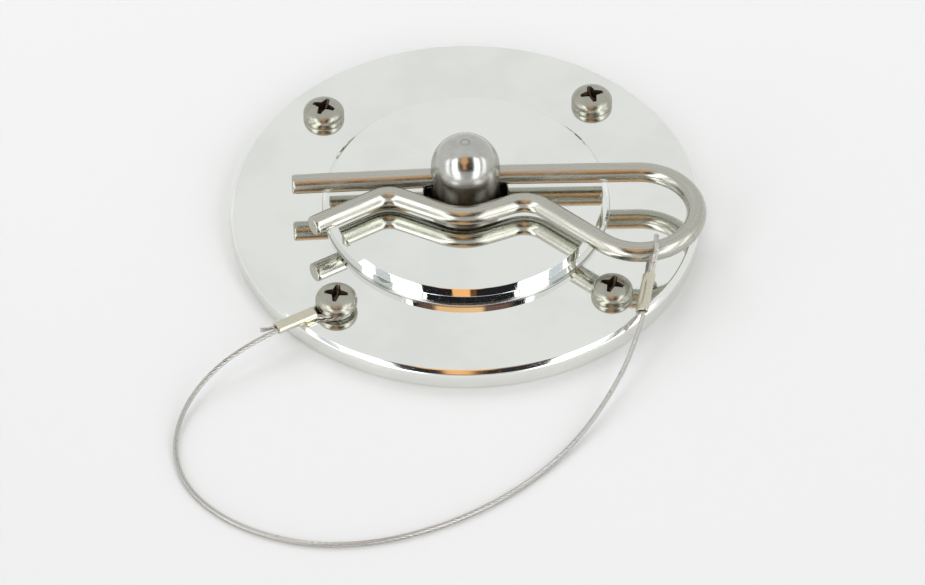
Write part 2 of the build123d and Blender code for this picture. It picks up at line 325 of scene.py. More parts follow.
def helix_rows(shape, low, high, pitch, columns, radius_at):
    """Surface of a thread as (points, faces): its rows climb one pitch a turn and end on flat rings.

    The shape is a list of (share of the pitch, height from 0 to 1), and radius_at(z, height) gives the
    radius there.
    """
    turns = int((high - low) / pitch) + 3
    rows = turns * len(shape)
    points = []
    for row in range(rows):
        turn, part = divmod(row, len(shape))
        share, height = shape[part]
        for column in range(columns):
            z = low + pitch * (turn - 1.5 + share + column / columns)
            z = min(max(z, low), high)
            radius = radius_at(z, height)
            angle = 2 * pi * column / columns
            points.append((radius * cos(angle), radius * sin(angle), z))
    faces = []
    for row in range(rows - 1):
        for column in range(columns - 1):
            here = row * columns + column
            faces.append((here, here + 1, here + columns + 1, here + columns))
        if row + 1 + len(shape) < rows:
            here = row * columns + columns - 1
            there = (row + len(shape)) * columns
            faces.append((here, there, there + columns, here + columns))
    return points, faces


def smooth_step(value, start, end):
    """From 0 at start to 1 at end."""
    share = min(max((value - start) / (end - start), 0), 1)
    return share * share * (3 - 2 * share)


def join(name, parts, at=(0, 0, 0)):
    """One object from several (points, faces) surfaces."""
    points = []
    faces = []
    for part_points, part_faces in parts:
        offset = len(points)
        points.extend(np.asarray(part_points).tolist())
        faces.extend(tuple(corner + offset for corner in face) for face in part_faces)
    return add_mesh(name, points, faces, at)


def strip(rings):
    """Points and faces between rings, with no caps."""
    points, faces = skin(rings)
    return points, faces[:-2]


def end_part(profile, columns):
    """Points and faces of a turned (radius, z) outline, open at its start and capped at its end."""
    points, faces = skin([circle(r, z, columns) for r, z in profile])
    return points, faces[:-2] + faces[-1:]


# ---- Camera ----------------------------------------------------------------------------------------

CAMERA_AT = Vector((-0.0428, -0.7895, 0.7791))
CAMERA_AIM = Vector((-0.0016, -0.0167, 0.0))
CAMERA_ROLL = radians(-0.57)
CAMERA_LENS = 266.55


def add_camera():
    data = bpy.data.cameras.new("camera")
    data.lens = CAMERA_LENS
    data.sensor_width = 36
    data.clip_end = 20
    camera = bpy.data.objects.new("camera", data)
    look = (CAMERA_AIM - CAMERA_AT).to_track_quat("-Z", "Y").to_matrix().to_4x4()
    camera.matrix_world = Matrix.Translation(CAMERA_AT) @ look @ Matrix.Rotation(CAMERA_ROLL, 4, "Z")
    bpy.context.scene.collection.objects.link(camera)
    bpy.context.scene.camera = camera


# ---- Light tent and table --------------------------------------------------------------------------


class Shader:
    """Short calls for the nodes of one tree."""

    def __init__(self, tree):
        self.tree = tree
        tree.nodes.clear()

    def add(self, kind, *links, **settings):
        """A node with its settings, and its inputs from (socket name or number, source or value)."""
        node = self.tree.nodes.new(kind)
        for name, value in settings.items():
            setattr(node, name, value)
        for socket, source in links:
            if isinstance(source, bpy.types.NodeSocket):
                self.tree.links.new(source, node.inputs[socket])
            else:
                node.inputs[socket].default_value = source
        return node

    def math(self, operation, *values):
        return self.add("ShaderNodeMath", *enumerate(values), operation=operation).outputs[0]

    def length(self, x, y):
        """Length of a flat (x, y) vector."""
        squares = self.math("ADD", self.math("MULTIPLY", x, x), self.math("MULTIPLY", y, y))
        return self.math("SQRT", squares)

    def ramp(self, value, start, end, low=0.0, high=1.0):
        """Value mapped smoothly from start..end to low..high and clamped."""
        return self.add(
            "ShaderNodeMapRange",
            ("Value", value),
            ("From Min", start),
            ("From Max", end),
            ("To Min", low),
            ("To Max", high),
            interpolation_type="SMOOTHSTEP",
        ).outputs[0]

    def mix(self, factor, under, over):
        """Colour mix: under where the factor is 0, over where it is 1."""
        inputs = ((0, factor), (6, under), (7, over))
        return self.add("ShaderNodeMix", *inputs, data_type="RGBA", clamp_factor=True).outputs[2]

    def noise(self, vector, scale, detail=2.0, roughness=0.5):
        return self.add(
            "ShaderNodeTexNoise",
            ("Vector", vector),
            ("Scale", scale),
            ("Detail", detail),
            ("Roughness", roughness),
        ).outputs["Fac"]


FLOOR_R = 440
FLOOR_BORE_R = 5.8


def grey(level):
    return (level, level, level, 1)


# The tent's front as the object sees it: rectangles on a flat wall square to a line that rises 45
# degrees towards -Y, a unit away. Each has a range to the right and a range up the wall.
WINDOWS = [
    # (rightward, upward, softness, colour)
    ((-1.9, 1.9), (-12.0, -0.22), 0.25, (0.60, 0.60, 0.59, 1)),
    ((1.06, 1.62), (-1.1, 0.5), 0.05, (0.62, 0.66, 0.70, 1)),
    ((-1.62, -1.06), (-1.1, 0.5), 0.05, (0.62, 0.66, 0.70, 1)),
    ((0.48, 1.08), (-1.2, 0.56), 0.02, grey(3.0)),
    ((-1.08, -0.46), (-1.2, 0.56), 0.02, grey(3.0)),
    ((0.585, 0.605), (-0.4, 0.4), 0.01, grey(0.45)),
    ((-0.605, -0.585), (-0.4, 0.4), 0.01, grey(0.45)),
    ((1.62, 2.95), (-1.0, 0.9), 0.06, grey(2.1)),
    ((-2.95, -1.62), (-1.0, 0.9), 0.06, grey(2.1)),
    ((-0.54, 0.53), (-0.34, 0.58), 0.015, (0.016, 0.016, 0.020, 1)),
    ((-0.47, 0.38), (0.16, 0.50), 0.06, (0.17, 0.10, 0.08, 1)),
    ((-0.31, 0.12), (0.13, 0.64), 0.03, (1.0, 0.61, 0.31, 1)),
    ((-0.01, 0.06), (-0.20, 0.14), 0.01, (0.14, 0.07, 0.03, 1)),
    ((-0.185, -0.005), (-0.20, 0.16), 0.01, (1.05, 0.53, 0.20, 1)),
]


def add_world():
    """White tent, open in front, where a dark room with a warm patch shows between two bright cards."""
    world = bpy.data.worlds.new("tent")
    world.use_nodes = True
    bpy.context.scene.world = world
    shader = Shader(world.node_tree)
    direction = shader.add("ShaderNodeTexCoord").outputs["Generated"]
    x, y, z = shader.add("ShaderNodeSeparateXYZ", (0, direction)).outputs
    towards = shader.math("MULTIPLY", shader.math("SUBTRACT", z, y), sqrt(0.5))
    over = shader.math("MULTIPLY", shader.math("ADD", z, y), sqrt(0.5))
    ahead = shader.ramp(towards, 0.02, 0.10)
    depth = shader.math("MAXIMUM", towards, 0.02)
    wall = (shader.math("DIVIDE", x, depth), shader.math("DIVIDE", over, depth))
    colour = shader.mix(shader.ramp(z, 0.0, 0.9), (0.80, 0.80, 0.795, 1), (0.82, 0.82, 0.82, 1))
    for rightward, upward, softness, tint in WINDOWS:
        inside = ahead
        for place, (low, high) in zip(wall, (rightward, upward)):
            inside = shader.math("MULTIPLY", inside, shader.ramp(place, low - softness, low + softness))
            fall = shader.ramp(place, high - softness, high + softness, 1.0, 0.0)
            inside = shader.math("MULTIPLY", inside, fall)
        colour = shader.mix(inside, colour, tint)
    background = shader.add("ShaderNodeBackground", ("Color", colour), ("Strength", 1.0))
    output = shader.add("ShaderNodeOutputWorld")
    shader.tree.links.new(background.outputs[0], output.inputs[0])


def add_light(name, place, size, power):
    """Soft rectangular light that faces the object and doesn't show itself."""
    data = bpy.data.lights.new(name, "AREA")
    data.shape = "RECTANGLE"
    data.size, data.size_y = size
    data.energy = power
    light = bpy.data.objects.new(name, data)
    light.location = place
    light.rotation_euler = (-Vector(place)).to_track_quat("-Z", "Y").to_euler()
    light.visible_camera = False
    light.visible_glossy = False
    bpy.context.scene.collection.objects.link(light)


def add_floor():
    """Pale round table top that the plate lies on, bored for the pin, and a black ring round the pin under
    the plate: a sheet of painted shade for the dark gap.
    """
    near, far = FLOOR_BORE_R, FLOOR_R
    rings = [circle(radius, 0, 128) for radius in (near, 60, 150, far)]
    floor = add_mesh("table", *strip(rings), (0, PIN_Y, -0.02))
    floor.data.materials.append(floor_material())
    # Black ring on the table round the pin, under the plate: a sheet of painted shade for the dark gap.
    gap = add_mesh("gap", *strip([circle(radius, 0, 96) for radius in (near, 20)]), (0, PIN_Y, -0.01))
    gap.data.materials.append(new_material("pin_gap_painted_shade", (0.01, 0.01, 0.01), 0.9)[0])


def floor_material():
    material, shader, principled = new_material("table_white", (0.73, 0.75, 0.76), 0.6)
    principled.inputs["Specular IOR Level"].default_value = 0.25
    place = shader.add("ShaderNodeTexCoord").outputs["Object"]
    cloud = shader.noise(place, 9.0, 3.0)
    tint = shader.mix(cloud, (0.725, 0.744, 0.752, 1), (0.738, 0.758, 0.767, 1))
    shader.tree.links.new(tint, principled.inputs["Base Color"])
    return material


# ---- Materials -------------------------------------------------------------------------------------


def new_material(name, colour, roughness, metallic=0.0):
    """Principled material: the material, its shader helper and its Principled node."""
    material = bpy.data.materials.new(name)
    material.use_nodes = True
    shader = Shader(material.node_tree)
    principled = shader.add(
        "ShaderNodeBsdfPrincipled",
        ("Base Color", (*colour, 1)),
        ("Roughness", roughness),
        ("Metallic", metallic),
    )
    output = shader.add("ShaderNodeOutputMaterial")
    shader.tree.links.new(principled.outputs[0], output.inputs[0])
    return material, shader, principled


def relief(shader, principled, height, depth):
    """Bumps the surface by a height field, depth in mm."""
    bump = shader.add("ShaderNodeBump", ("Height", height), ("Distance", depth * MM), ("Strength", 1.0))
    shader.tree.links.new(bump.outputs[0], principled.inputs["Normal"])


def scratches(shader, place, scale, turn, stretch, cover):
    """Mask of fine straight hairlines in one direction: 1 on a scratch."""
    laid = shader.add(
        "ShaderNodeMapping",
        ("Vector", place),
        ("Rotation", (0, 0, radians(turn))),
        ("Scale", (scale, scale * stretch, scale)),
    ).outputs[0]
    return shader.ramp(shader.noise(laid, 1.0, 1.0), 1 - cover, 1 - cover + 0.02)


def plate_material():
    """Polished aluminium: a hazy mirror with hairlines, a duller rim, a duller boss foot painted darker as
    painted shade, and a rough bore painted near black as painted shade.
    """
    material, shader, principled = new_material("polished_plate", (0.89, 0.90, 0.86), 0.03, 1.0)
    place = shader.add("ShaderNodeTexCoord").outputs["Object"]
    lines = 0.0
    for scale, turn, cover in ((3500, 20, 0.31), (2600, -48, 0.30), (4200, 95, 0.31)):
        lines = shader.math("MAXIMUM", lines, scratches(shader, place, scale, turn, 0.012, cover))
    haze = shader.ramp(shader.noise(place, 60, 4.0), 0.35, 0.75, 0.018, 0.05)
    rough = shader.math("ADD", haze, shader.math("MULTIPLY", lines, 0.10))
    x, y, z = shader.add("ShaderNodeSeparateXYZ", (0, place)).outputs
    away = shader.length(x, y)
    bevel_r = PLATE_R - PLATE_EDGE
    edge = shader.ramp(away, (bevel_r - 0.1) * MM, (bevel_r + 0.1) * MM, 0.0, 0.09)
    rough = shader.math("ADD", rough, edge)
    # Band at the foot of the boss wall: rougher, and painted darker below as painted shade.
    foot = shader.ramp(z, (BOSS_FOOT_DULL_SHADE_Z - 0.05) * MM, (BOSS_FOOT_DULL_SHADE_Z + 0.05) * MM, 1.0, 0.0)
    foot = shader.math("MULTIPLY", foot, shader.ramp(z, (PLATE_T + 0.01) * MM, (PLATE_T + 0.04) * MM))
    # Band at the pin hole's bore: much rougher, and painted near black below as painted shade.
    bore = shader.ramp(away, (PIN_HOLE_R + 0.02) * MM, (PIN_HOLE_R + 0.12) * MM, 1.0, 0.0)
    rough = shader.math("ADD", rough, shader.math("MULTIPLY", foot, 0.15))
    rough = shader.math("ADD", rough, shader.math("MULTIPLY", bore, 0.7))
    shader.tree.links.new(rough, principled.inputs["Roughness"])
    cloud = shader.ramp(shader.noise(place, 75, 3.0, 0.55), 0.36, 0.62)
    tint = shader.mix(cloud, (0.855, 0.87, 0.84, 1), (0.90, 0.915, 0.88, 1))
    # Painted shade: the boss foot band is painted dark grey.
    tint = shader.mix(foot, tint, (0.44, 0.44, 0.43, 1))
    # Painted shade: the bore round the pin is painted near black.
    tint = shader.mix(bore, tint, (0.02, 0.019, 0.018, 1))
    shader.tree.links.new(tint, principled.inputs["Base Color"])
    relief(shader, principled, lines, -0.00015)
    return material


def turned_coordinates(shader):
    """The piece's own coordinates, and (distance from its axis, height, a slow sideways part)."""
    place = shader.add("ShaderNodeTexCoord").outputs["Object"]
    x, y, z = shader.add("ShaderNodeSeparateXYZ", (0, place)).outputs
    radius = shader.length(x, y)
    slow = shader.math("MULTIPLY", x, 0.03)
    return place, shader.add("ShaderNodeCombineXYZ", (0, radius), (1, z), (2, slow)).outputs[0]


def turned_material(name, colour, roughness, line_depth):
    """Turned or rolled stainless steel: fine lines round the axis, over a cloudy satin."""
    material, shader, principled = new_material(name, colour, roughness, 1.0)
    place, ringed = turned_coordinates(shader)
    lines = shader.noise(ringed, 9000, 2.0, 0.6)
    cloud = shader.noise(place, 500, 3.0)
    rough = shader.ramp(shader.math("ADD", lines, cloud), 0.7, 1.3, roughness * 0.75, roughness * 1.3)
    shader.tree.links.new(rough, principled.inputs["Roughness"])
    dark = tuple(0.88 * part for part in colour)
    tint = shader.mix(shader.ramp(cloud, 0.3, 0.7), (*dark, 1), (*colour, 1))
    shader.tree.links.new(tint, principled.inputs["Base Color"])
    relief(shader, principled, lines, line_depth)
    return material


def wire_material(name, colour, roughness):
    """Drawn wire: fine lines along it, read from the grain stored on the mesh."""
    material, shader, principled = new_material(name, colour, roughness, 1.0)
    grain = shader.add("ShaderNodeAttribute", attribute_name="grain").outputs["Vector"]
    lines = shader.noise(grain, 5.0, 3.0, 0.65)
    place = shader.add("ShaderNodeTexCoord").outputs["Object"]
    cloud = shader.noise(place, 260, 3.0)
    rough = shader.ramp(shader.math("ADD", lines, cloud), 0.7, 1.35, roughness * 0.7, roughness * 1.5)
    shader.tree.links.new(rough, principled.inputs["Roughness"])
    dark = tuple(0.85 * part for part in colour)
    tint = shader.mix(shader.ramp(lines, 0.3, 0.7), (*dark, 1), (*colour, 1))
    shader.tree.links.new(tint, principled.inputs["Base Color"])
    relief(shader, principled, lines, 0.0016)
    return material


def pin_material():
    """Rolled steel: a polished cap with a ring mark, duller lower down and painted darker there as painted
    shade, and painted dark brown at the hole as painted shade and painted reflection.
    """
    material, shader, principled = new_material("pin_steel", (0.56, 0.555, 0.53), 0.2, 1.0)
    place, ringed = turned_coordinates(shader)
    radius, height, _ = shader.add("ShaderNodeSeparateXYZ", (0, ringed)).outputs
    lines = shader.noise(ringed, 9000, 2.0, 0.6)
    cloud = shader.noise(place, 420, 3.0)
    edge = shader.math("ADD", height, shader.math("MULTIPLY", cloud, 1.5 * MM))
    # Lower part of the pin: rougher, and its colour is painted darker below as painted shade.
    dull_and_shaded = shader.ramp(edge, 11.2 * MM, 16.2 * MM, 1.0, 0.0)
    rough = shader.ramp(shader.math("ADD", lines, cloud), 0.7, 1.3, 0.13, 0.22)
    rough = shader.math("ADD", rough, shader.math("MULTIPLY", dull_and_shaded, 0.16))
    shader.tree.links.new(rough, principled.inputs["Roughness"])
    ring = shader.math(
        "MULTIPLY",
        shader.ramp(radius, 0.45 * MM, 0.62 * MM),
        shader.ramp(radius, 0.70 * MM, 0.90 * MM, 1.0, 0.0),
    )
    ring = shader.math("MULTIPLY", ring, shader.ramp(height, 15.0 * MM, 16.0 * MM))
    # Painted shade and painted reflection: dark brown on the pin from about 5 mm to 13 mm up, near the
    # hole.
    painted_shade_and_reflection = shader.ramp(edge, 9.4 * MM, 13.4 * MM, 1.0, 0.0)
    painted_shade_and_reflection = shader.math("MULTIPLY", painted_shade_and_reflection, shader.ramp(edge, 0.0, 5.0 * MM))
    tint = shader.mix(shader.ramp(cloud, 0.3, 0.7), (0.49, 0.49, 0.46, 1), (0.555, 0.56, 0.53, 1))
    # Painted shade: the duller lower part of the pin is painted darker.
    tint = shader.mix(shader.math("MULTIPLY", dull_and_shaded, 0.7), tint, (0.41, 0.40, 0.375, 1))
    tint = shader.mix(shader.math("MULTIPLY", ring, 0.6), tint, (0.30, 0.29, 0.27, 1))
    # Painted shade and painted reflection: the pin near the hole is painted dark brown.
    tint = shader.mix(painted_shade_and_reflection, tint, (0.17, 0.152, 0.125, 1))
    shader.tree.links.new(tint, principled.inputs["Base Color"])
    relief(shader, principled, lines, 0.0010)
    return material


def plain_metal(name, colour, roughness, scale, depth):
    """Tumbled metal with a fine uneven skin."""
    material, shader, principled = new_material(name, colour, roughness, 1.0)
    place = shader.add("ShaderNodeTexCoord").outputs["Object"]
    skin_noise = shader.noise(place, scale, 4.0, 0.6)
    rough = shader.ramp(skin_noise, 0.3, 0.7, roughness * 0.75, roughness * 1.35)
    shader.tree.links.new(rough, principled.inputs["Roughness"])
    dark = tuple(0.84 * part for part in colour)
    tint = shader.mix(skin_noise, (*dark, 1), (*colour, 1))
    shader.tree.links.new(tint, principled.inputs["Base Color"])
    relief(shader, principled, skin_noise, depth)
    return material


def dress(piece, material, slot, body, *nodes):
    """Gives a piece its material and body, and lets it stand for its CAD nodes. The slot is not used."""
    if not piece.data.materials:
        piece.data.materials.append(material)
    if body:
        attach(piece, body)
    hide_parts(*nodes)


# ---- Lanyard ---------------------------------------------------------------------------------------

CABLE_ROUTE = [
    (-0.0315846, -0.0274164, 0.00427),
    (-0.0364, -0.0300, 0.0040),
    (-0.0426, -0.0344, 0.0026),
    (-0.0472, -0.0408, 0.0012),
    (-0.0490, -0.0486, 0.00045),
    (-0.0474, -0.0566, 0.00045),
    (-0.0426, -0.0632, 0.00045),
    (-0.0356, -0.0680, 0.00045),
    (-0.0270, -0.0708, 0.00045),
    (-0.0174, -0.0706, 0.00045),
    (-0.0078, -0.0679, 0.00045),
    (0.0010, -0.0634, 0.00045),
    (0.0089, -0.0572, 0.00045),
    (0.0152, -0.0502, 0.0009),
    (0.0202, -0.0430, 0.0022),
    (0.0241, -0.0360, 0.0040),
    (0.0264028, -0.029584, 0.0061007),
]


def nurbs_points(route):
    """Points in mm along a smooth NURBS line whose control points are the route's points, in metres."""
    data = bpy.data.curves.new("route", "CURVE")
    data.dimensions = "3D"
    spline = data.splines.new("NURBS")
    spline.points.add(len(route) - 1)
    for point, place in zip(spline.points, route):
        point.co = (*place, 1)
    spline.order_u = 3
    spline.use_endpoint_u = True
    spline.resolution_u = 24
    guide = bpy.data.objects.new("route", data)
    bpy.context.scene.collection.objects.link(guide)
    depsgraph = bpy.context.evaluated_depsgraph_get()
    line = bpy.data.meshes.new_from_object(guide.evaluated_get(depsgraph))
    points = np.array([vertex.co for vertex in line.vertices]) / MM
    bpy.data.objects.remove(guide)
    bpy.data.meshes.remove(line)
    return points


def rope_parts(path, spread=lambda share: 1.0, strand_r=STRAND_R):
    """Seven strands as (points, faces): six laid round a straight one along a path."""
    path = resample(path, 0.28)
    _, sides, ups = frames_along(path)
    lengths = along_path(path)
    shares = lengths / lengths[-1]
    parts = []
    for strand in range(7):
        away = 0.0 if strand == 6 else 2 * strand_r
        phase = 2 * pi * (lengths / LAY_LENGTH + strand / 6)
        reach = away * np.array([spread(share) for share in shares])
        line = path + (reach * np.cos(phase))[:, None] * sides + (reach * np.sin(phase))[:, None] * ups
        parts.append(skin(tube_rings(line, [strand_r] * len(line), 6)))
    return parts


def make_cord():
    """Main run of the lanyard, from sleeve to sleeve, where it lies on the table and rises to the clip."""
    path = nurbs_points(CABLE_ROUTE)
    rope = join("lanyard_rope", rope_parts(path))
    clean(rope, 60)
    dress(rope, MATERIALS["wire_rope"], "wire_rope", None, "lanyard_cable")
    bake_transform(rope)
    return rope, path


def eye_path(origin, out, across, through, radius, reach, twist):
    """Line of an eye, strand to strand: it wraps round the origin in the plane of out and across.

    A twisted eye's two sides stand apart along through, most where they pass the origin.
    """
    origin, out, across, through = (np.array(v, float) for v in (origin, out, across, through))
    end = (
        reach,
        STRAND_GAP / 2 * cos(radians(twist)),
        -STRAND_GAP / 2 * sin(radians(twist)),
    )
    opening = acos(radius / hypot(end[0], end[1]))
    swing = atan2(end[1], end[0])
    flat = [(end[0], end[1])]
    steps = 24
    for step in range(steps + 1):
        angle = swing + opening + (2 * pi - 2 * opening) * step / steps
        flat.append((radius * cos(angle), radius * sin(angle)))
    flat.append((end[0], -end[1]))
    lengths = along_path(np.array(flat))
    points = []
    for (along, aside), length in zip(flat, lengths):
        share = length / lengths[-1]
        depth = end[2] * cos(pi * share) * (1 + 1.7 * sin(2 * pi * share) ** 2)
        points.append(origin + along * out + aside * across + depth * through)
    return resample(points, 0.2)


def make_sleeve(name, body, node, start, out, wide, waist_depth):
    """Crimped oval sleeve, open at both ends, with a long waist where the tool pinched it."""
    start, out, wide = (np.array(v, float) for v in (start, out, wide))
    thin = np.cross(out, wide)
    wall = SLEEVE_WALL
    straight = (SLEEVE_WIDE - SLEEVE_THIN) / 2

    def section(along, grow, pinch=0.0):
        """Ring of two round lobes with a waist between them, deeper where the tool pinched it."""
        ring = []
        for step in range(48):
            angle = 2 * pi * step / 48
            reach = SLEEVE_THIN / 2 + grow
            a = (reach + straight) * cos(angle)
            waist = pinch * exp(-((a / 0.42) ** 2))
            b = (reach - waist) * copysign(abs(sin(angle)) ** 0.9, sin(angle))
            ring.append(start + along * out + a * wide + b * thin)
        return np.array(ring)

    rings = [section(SLEEVE_MOUTH, -wall), section(0.1, -wall)]
    rings += [section(0.0, -wall * 0.6), section(0.0, -0.06), section(0.08, 0.0)]
    for step in range(1, 48):
        along = 0.08 + (SLEEVE_L - 0.16) * step / 48
        middle = (along - SLEEVE_MOUTH) / (SLEEVE_L - 2 * SLEEVE_MOUTH)
        pinch = waist_depth * sin(pi * min(max(middle, 0.0), 1.0)) ** 0.5
        rings.append(section(along, 0.0, pinch))
    rings += [section(SLEEVE_L - 0.08, 0.0), section(SLEEVE_L, -0.06), section(SLEEVE_L, -wall * 0.6)]
    rings += [section(SLEEVE_L - 0.1, -wall), section(SLEEVE_L - SLEEVE_MOUTH, -wall)]
    sleeve = add_mesh(name, *skin(rings))
    clean(sleeve, 50)
    dress(sleeve, MATERIALS["crimp_sleeve"], "crimp_sleeve", body, node)
    return sleeve


def make_tail(name, body, node, points, flare):
    """Cut end of the second strand, with its wires a little apart at the tip."""
    path = nurbs_points(np.array(points) * MM)
    tail = join(name, rope_parts(path, lambda share: 1 + flare * share**2, TAIL_STRAND_R))
    clean(tail, 60)
    dress(tail, MATERIALS["wire_rope"], "wire_rope", body, node)
    return tail


def loop_point(angle):
    """Point on the clip's loop, on the wire's centre line, at an angle in degrees."""
    return (LOOP_X + LOOP_R * cos(radians(angle)), -LOOP_R + LOOP_R * sin(radians(angle)), CLIP_Z)


def make_screw_end():
    """Eye round the front left screw, its sleeve and the cut tail, on the plate."""
    screw_low, screw_high = node_box("screw_front_left")
    screw_at = (screw_low + screw_high) / 2
    eye_z = PLATE_T + CABLE_R + 0.06
    origin = np.array((screw_at.x, screw_at.y, eye_z))
    out = np.array((-0.890, -0.456, 0.0))
    across = np.array((-0.456, 0.890, 0.0))
    down = np.array((0.0, 0.0, -1.0))
    route = eye_path(origin, out, across, down, SCREW_EYE_R, SCREW_EYE_REACH, 0)
    eye = join("screw_eye_rope", rope_parts(route))
    clean(eye, 60)
    dress(eye, MATERIALS["wire_rope"], "wire_rope", "plate", "screw_eye_loop")
    lift = np.array((0, 0, PLATE_T + SLEEVE_THIN / 2 + 0.02 - eye_z))
    start = origin + SCREW_SLEEVE_FROM * out + lift
    sleeve = make_sleeve("screw_crimp", "plate", "screw_sleeve", start, out, across, SCREW_SLEEVE_WAIST)
    route = [(10.4, 0.45, 0.0), (11.8, 0.48, 0.0), (12.8, 0.7, 0.08), (13.4, 0.9, 0.15)]
    points = [origin + lift + a * out + b * across - c * down for a, b, c in route]
    tail = make_tail("screw_tail_rope", "plate", "screw_tail", points, 0.8)
    return [eye, sleeve, tail]


def make_clip_end():
    """Eye round the clip's loop, its sleeve and the cut tail, on the clip."""
    wire_at = np.array(loop_point(CLIP_EYE_ANGLE))
    out = np.array((-0.240, -0.940, -0.246))
    out /= np.linalg.norm(out)
    up = np.array((0, 0, 1)) - out * out[2]
    up /= np.linalg.norm(up)
    left = np.cross(out, up)
    route = eye_path(wire_at, out, up, left, CLIP_EYE_R, CLIP_EYE_REACH, CLIP_EYE_TWIST)
    eye = join("clip_eye_rope", rope_parts(route))
    clean(eye, 60)
    dress(eye, MATERIALS["wire_rope"], "wire_rope", "clip", "clip_eye_loop")
    wide = up * cos(radians(CLIP_EYE_TWIST)) - left * sin(radians(CLIP_EYE_TWIST))
    start = wire_at + CLIP_SLEEVE_FROM * out
    sleeve = make_sleeve("clip_crimp", "clip", "clip_sleeve", start, out, wide, CLIP_SLEEVE_WAIST)
    exit_at = wire_at + 10.6 * out - 0.7 * wide
    route = [(0.0, 0.0, 0.0), (1.3, 0.0, 0.0), (2.2, -0.7, -0.3), (3.2, -1.9, -0.9)]
    points = [exit_at + a * out + np.array((x, 0, z)) for a, x, z in route]
    tail = make_tail("clip_tail_rope", "clip", "clip_tail", points, 1.1)
    return [eye, sleeve, tail]


def make_lanyard():
    rope, path = make_cord()
    on_cord = make_screw_end() + make_clip_end()


# ---- Plate -----------------------------------------------------------------------------------------


def make_plate():
    """Round plate with a raised centre: bevels rounded by polishing, four screw holes, one pin hole."""
    profile = rounded([
        (PIN_HOLE_R, 0.0, 0.25),
        (PLATE_R, 0.0, 0.2),
        (PLATE_R, PLATE_T - PLATE_EDGE, 0.7),
        (PLATE_R - PLATE_EDGE, PLATE_T, 0.7),
        (BOSS_FOOT_R, PLATE_T, 0.12),
        (BOSS_R, BOSS_TOP - BOSS_EDGE, 0.15),
        (BOSS_R - BOSS_EDGE, BOSS_TOP, 0.35),
        (PIN_HOLE_R, BOSS_TOP, 0.4),
    ], loop=True)
    plate = lathe("plate", profile, 384, loop=True)
    for name in SCREW_TURNS:
        low, high = node_box(f"screw_{name}")
        x, y, _ = (low + high) / 2
        cut(plate, cylinder("hole", SCREW_HOLE_R, (x, y, -1), (x, y, PLATE_T + 1)))
    clean(plate)
    dress(plate, MATERIALS["polished_plate"], "polished_plate", "plate", "scuff_plate")


# ---- Screws ----------------------------------------------------------------------------------------


def tapered_cross_arm(name, turn, top, at):
    """Wedge that cuts one bar of the cross recess: narrower and shorter at its foot."""
    half_length, half_width, depth = RECESS_HALF_LENGTH, RECESS_HALF_WIDTH, RECESS_DEPTH
    levels = (
        # (height, share of the length, share of the width)
        (top + 0.5, 1.08, 1.15),
        (top, 1.0, 1.0),
        (top - depth * 0.5, 0.80, 0.72),
        (top - depth, 0.42, 0.5),
    )
    rings = []
    for z, long_share, wide_share in levels:
        ring = []
        length, width = half_length * long_share, half_width * wide_share
        for x, y in rounded([
            (-length, -width * 0.55, 0.12),
            (0.0, -width * 1.35, 0.9),
            (length, -width * 0.55, 0.12),
            (length, width * 0.55, 0.12),
            (0.0, width * 1.35, 0.9),
            (-length, width * 0.55, 0.12),
        ], loop=True, steps=3):
            ring.append((x * cos(turn) - y * sin(turn), x * sin(turn) + y * cos(turn), z))
        rings.append(np.array(ring))
    return add_mesh(name, *skin(rings), at)


def screw_shank(top, tip):
    """Rolled wood-screw thread with a flat root and a gimlet point, as (points, faces)."""
    shape = [(0.0, 0.0), (0.30, 0.0), (0.44, 0.85), (0.50, 1.0), (0.56, 0.85), (0.70, 0.0)]

    def radius_at(z, height):
        point = smooth_step(z, tip, tip + SCREW_POINT * 1.15)
        core = 0.06 + (SCREW_CORE_R - 0.06) * min(1.0, point * 1.1)
        ridge = (SCREW_R - SCREW_CORE_R) * smooth_step(z, tip + 0.1, tip + SCREW_POINT * 0.8)
        return core + ridge * height * (1 - smooth_step(z, top - 0.9, top - 0.1))

    return helix_rows(shape, tip, top, SCREW_PITCH, 32, radius_at)


def make_screw(name):
    low, high = node_box(f"screw_{name}")
    x, y, _ = (low + high) / 2
    seat = high.z - HEAD_H
    dome = []
    for step in range(1, 21):
        turn = pi / 2 * step / 20
        rise = (HEAD_H - HEAD_WALL) * cos(turn) ** HEAD_FULLNESS
        dome.append((HEAD_R * sin(turn) ** HEAD_FULLNESS, seat + HEAD_WALL + rise))
    head_profile = [(0.02, high.z), *dome] + rounded([
        (HEAD_R, seat + HEAD_WALL, 0),
        (HEAD_R, seat, 0.22),
        (SCREW_CORE_R + 0.2, seat, 0.1),
        (SCREW_CORE_R, seat - 0.4, 0.1),
        (SCREW_CORE_R, 0.0, 0),
    ], steps=6)[1:]
    screw = lathe(f"screw_head_{name}", head_profile, 96, at=(x, y, 0))
    screw.data.materials.append(MATERIALS["screw_steel"])
    for bar in (0, pi / 2):
        turn = radians(SCREW_TURNS[name]) + bar
        recess = tapered_cross_arm("recess", turn, high.z, (x, y, 0))
        # The recess walls get a near-black brown material: painted shade in the cross recess.
        recess.data.materials.append(MATERIALS["screw_recess_shade"])
        cut(screw, recess)
    clean(screw, 38)
    shank = add_mesh(f"screw_thread_{name}", *screw_shank(0.0, low.z), at=(x, y, 0))
    mend(shank, fill_rings=True)
    clean(shank, 40)
    joined = merge(f"screw_{name}_steel", [screw, shank])
    dress(joined, MATERIALS["screw_steel"], "screw_steel", "plate", f"screw_{name}")


